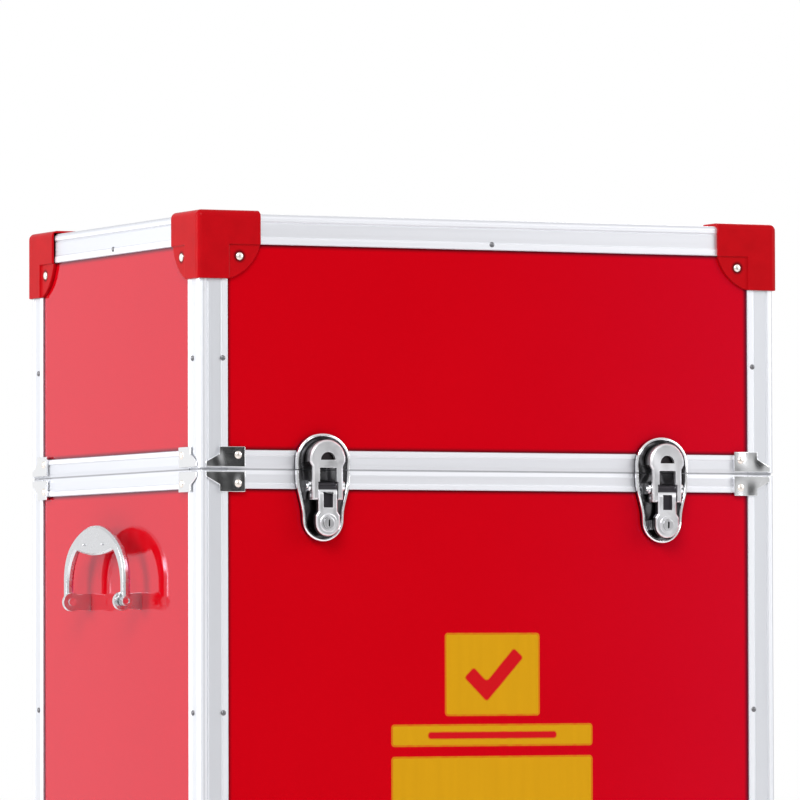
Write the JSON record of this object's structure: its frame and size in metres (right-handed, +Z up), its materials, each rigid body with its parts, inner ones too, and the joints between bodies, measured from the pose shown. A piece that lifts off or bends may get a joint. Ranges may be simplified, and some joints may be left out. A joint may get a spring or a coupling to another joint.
{
  "type": "ballot box",
  "caption": "Flight-case ballot box: red laminated panels in aluminium edging, slotted hinged lid, key-lock toggle latches, corner caps and side handles.",
  "frame": {"origin": "on the floor, in the middle of the whole footprint, latches and hinges included", "axes": "+Z up, +X to the right as seen from the front, -Y out of the front with the latches"},
  "size_m": [0.435, 0.2951, 0.704],
  "materials": {
    "red_laminated_board": "board faced with a smooth glossy red laminate",
    "red_cap_plastic": "moulded, semi-gloss",
    "satin_aluminium": "satin anodised extrusion",
    "chrome": "bright plated",
    "nickel_steel": "nickel plated rivets and pins"
  },
  "bodies": {
    "body": {"back_left_bottom_cap": "red_cap_plastic", "back_right_bottom_cap": "red_cap_plastic", "body_back_panel": "red_laminated_board", "body_back_rim": "satin_aluminium", "body_corner_braces": "chrome", "body_corner_posts": "satin_aluminium", "body_front_panel": "red_laminated_board", "body_front_rim": "satin_aluminium", "body_left_panel": "red_laminated_board", "body_left_rim": "satin_aluminium", "body_right_panel": "red_laminated_board", "body_right_rim": "satin_aluminium", "body_rivets": "nickel_steel", "bottom_panel": "red_laminated_board", "bottom_rails": "satin_aluminium", "front_left_bottom_cap": "red_cap_plastic", "front_right_bottom_cap": "red_cap_plastic", "handle_brackets": "chrome", "handle_pins": "nickel_steel", "hinge_body_leaves": "chrome", "hinge_pins": "nickel_steel", "latch_pivot_pins": "nickel_steel", "left_latch_base": "chrome", "right_latch_base": "chrome"},
    "lid": {"back_left_top_cap": "red_cap_plastic", "back_right_top_cap": "red_cap_plastic", "front_left_top_cap": "red_cap_plastic", "front_right_top_cap": "red_cap_plastic", "hinge_lid_leaves": "chrome", "left_latch_strike": "chrome", "lid_back_panel": "red_laminated_board", "lid_back_rail": "satin_aluminium", "lid_back_rim": "satin_aluminium", "lid_corner_braces": "chrome", "lid_corner_posts": "satin_aluminium", "lid_front_panel": "red_laminated_board", "lid_front_rail": "satin_aluminium", "lid_front_rim": "satin_aluminium", "lid_left_panel": "red_laminated_board", "lid_left_rail": "satin_aluminium", "lid_left_rim": "satin_aluminium", "lid_right_panel": "red_laminated_board", "lid_right_rail": "satin_aluminium", "lid_right_rim": "satin_aluminium", "lid_rivets": "nickel_steel", "lid_top_panel": "red_laminated_board", "right_latch_strike": "chrome", "slot_plate": "chrome"},
    "left_lever": {"left_latch_lever": "chrome"},
    "right_lever": {"right_latch_lever": "chrome"},
    "left_claw": {"left_latch_claw": "chrome", "left_claw_pin": "nickel_steel"},
    "right_claw": {"right_latch_claw": "chrome", "right_claw_pin": "nickel_steel"},
    "left_plug": {"left_key_plug": "chrome"},
    "right_plug": {"right_key_plug": "chrome"},
    "left_bail": {"left_handle": "chrome"},
    "right_bail": {"right_handle": "chrome"}
  },
  "joints": [
    {"name": "lid_hinge", "type": "hinge", "parent": "body", "child": "lid", "pos_m": [0, 0.14405, 0.544], "axis": [-1, 0, 0], "range_deg": [0, 100]},
    {"name": "left_lever_hinge", "type": "hinge", "parent": "body", "child": "left_lever", "pos_m": [-0.118, -0.14075, 0.534], "axis": [-1, 0, 0], "range_deg": [0, 110]},
    {"name": "left_claw_hinge", "type": "hinge", "parent": "left_lever", "child": "left_claw", "pos_m": [-0.118, -0.14075, 0.528], "axis": [1, 0, 0], "range_deg": [0, 110]},
    {"name": "left_key_turn", "type": "hinge", "parent": "left_lever", "child": "left_plug", "pos_m": [-0.118, -0.14375, 0.511], "axis": [0, -1, 0], "range_deg": [0, 90]},
    {"name": "left_handle_hinge", "type": "hinge", "parent": "body", "child": "left_bail", "pos_m": [-0.2115, 0.00225, 0.4635], "axis": [0, -1, 0], "range_deg": [0, 90]},
    {"name": "right_lever_hinge", "type": "hinge", "parent": "body", "child": "right_lever", "pos_m": [0.118, -0.14075, 0.534], "axis": [-1, 0, 0], "range_deg": [0, 110]},
    {"name": "right_claw_hinge", "type": "hinge", "parent": "right_lever", "child": "right_claw", "pos_m": [0.118, -0.14075, 0.528], "axis": [1, 0, 0], "range_deg": [0, 110]},
    {"name": "right_key_turn", "type": "hinge", "parent": "right_lever", "child": "right_plug", "pos_m": [0.118, -0.14375, 0.511], "axis": [0, 1, 0], "range_deg": [0, 90]},
    {"name": "right_handle_hinge", "type": "hinge", "parent": "body", "child": "right_bail", "pos_m": [0.2115, 0.00225, 0.4635], "axis": [0, 1, 0], "range_deg": [0, 90]}
  ],
  "couplings": [
    {"joint": "left_claw_hinge", "follows": "left_lever_hinge", "ratio": 1},
    {"joint": "right_claw_hinge", "follows": "right_lever_hinge", "ratio": 1}
  ]
}
